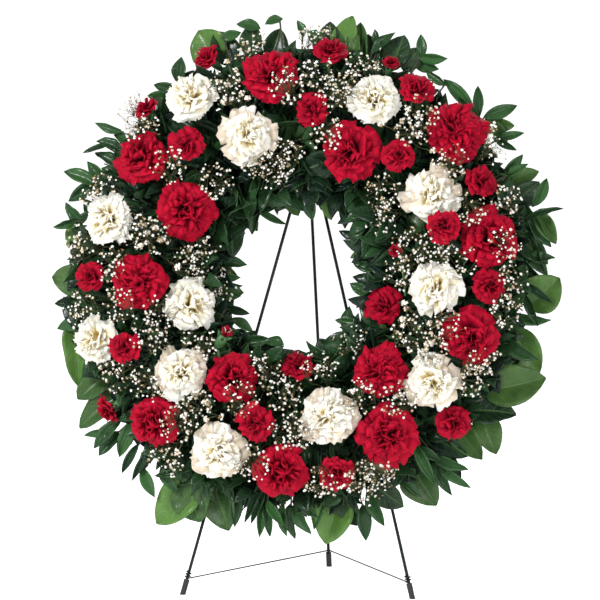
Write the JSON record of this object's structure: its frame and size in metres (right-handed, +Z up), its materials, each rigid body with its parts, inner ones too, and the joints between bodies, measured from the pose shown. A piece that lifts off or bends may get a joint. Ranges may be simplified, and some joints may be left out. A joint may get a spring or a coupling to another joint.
{
  "type": "standing funeral wreath on easel",
  "caption": "Ring wreath of red and ivory carnations, baby's breath and leaves on a foam ring, leaning on a folding three-legged wire easel.",
  "frame": {"origin": "on the floor, under the middle of the bounding box", "axes": "+Z up, the flowers face -Y, +X to the right as seen from the front"},
  "size_m": [0.6328, 0.4032, 0.7203],
  "materials": {
    "steel": "semi-gloss dark green paint",
    "rubber": "matt black",
    "tray": "dark green moulded plastic",
    "foam": "soaked green floral foam",
    "greens": "glossy dark leaves",
    "red_petals": "soft deep red petals",
    "white_petals": "soft ivory petals",
    "breath": "small cream florets"
  },
  "bodies": {
    "stand": {"breath_01": "breath", "breath_02": "breath", "breath_03": "breath", "breath_04": "breath", "breath_05": "breath", "breath_06": "breath", "carnation_mini_01": "red_petals", "carnation_mini_02": "red_petals", "carnation_mini_04": "red_petals", "carnation_mini_05": "red_petals", "carnation_mini_07": "red_petals", "carnation_mini_09": "red_petals", "carnation_mini_10": "red_petals", "carnation_mini_13": "red_petals", "carnation_mini_14": "red_petals", "carnation_mini_15": "red_petals", "carnation_mini_16": "red_petals", "carnation_mini_18": "red_petals", "carnation_mini_19": "red_petals", "carnation_red_01": "red_petals", "carnation_red_02": "red_petals", "carnation_red_03": "red_petals", "carnation_red_04": "red_petals", "carnation_red_05": "red_petals", "carnation_red_06": "red_petals", "carnation_red_07": "red_petals", "carnation_red_08": "red_petals", "carnation_red_09": "red_petals", "carnation_red_10": "red_petals", "carnation_red_11": "red_petals", "carnation_red_12": "red_petals", "carnation_red_13": "red_petals", "carnation_white_01": "white_petals", "carnation_white_02": "white_petals", "carnation_white_03": "white_petals", "carnation_white_04": "white_petals", "carnation_white_05": "white_petals", "carnation_white_06": "white_petals", "carnation_white_07": "white_petals", "carnation_white_08": "white_petals", "carnation_white_09": "white_petals", "carnation_white_10": "white_petals", "carnation_white_11": "white_petals", "carnation_white_12": "white_petals", "foam_ring": "foam", "foot_cap_left": "rubber", "foot_cap_right": "rubber", "front_frame": "steel", "greens_1": "greens", "greens_2": "greens", "greens_3": "greens", "greens_4": "greens", "greens_5": "greens", "greens_6": "greens", "greens_7": "greens", "greens_8": "greens", "stay_wire": "steel", "tray": "tray"},
    "rear_leg": {"rear_leg": "steel", "foot_cap_rear": "rubber"}
  },
  "joints": [
    {"name": "rear_leg_fold", "type": "hinge", "parent": "stand", "child": "rear_leg", "pos_m": [0, 0.00311, 0.54186], "axis": [-1, 0, 0], "range_deg": [0, 27]}
  ]
}
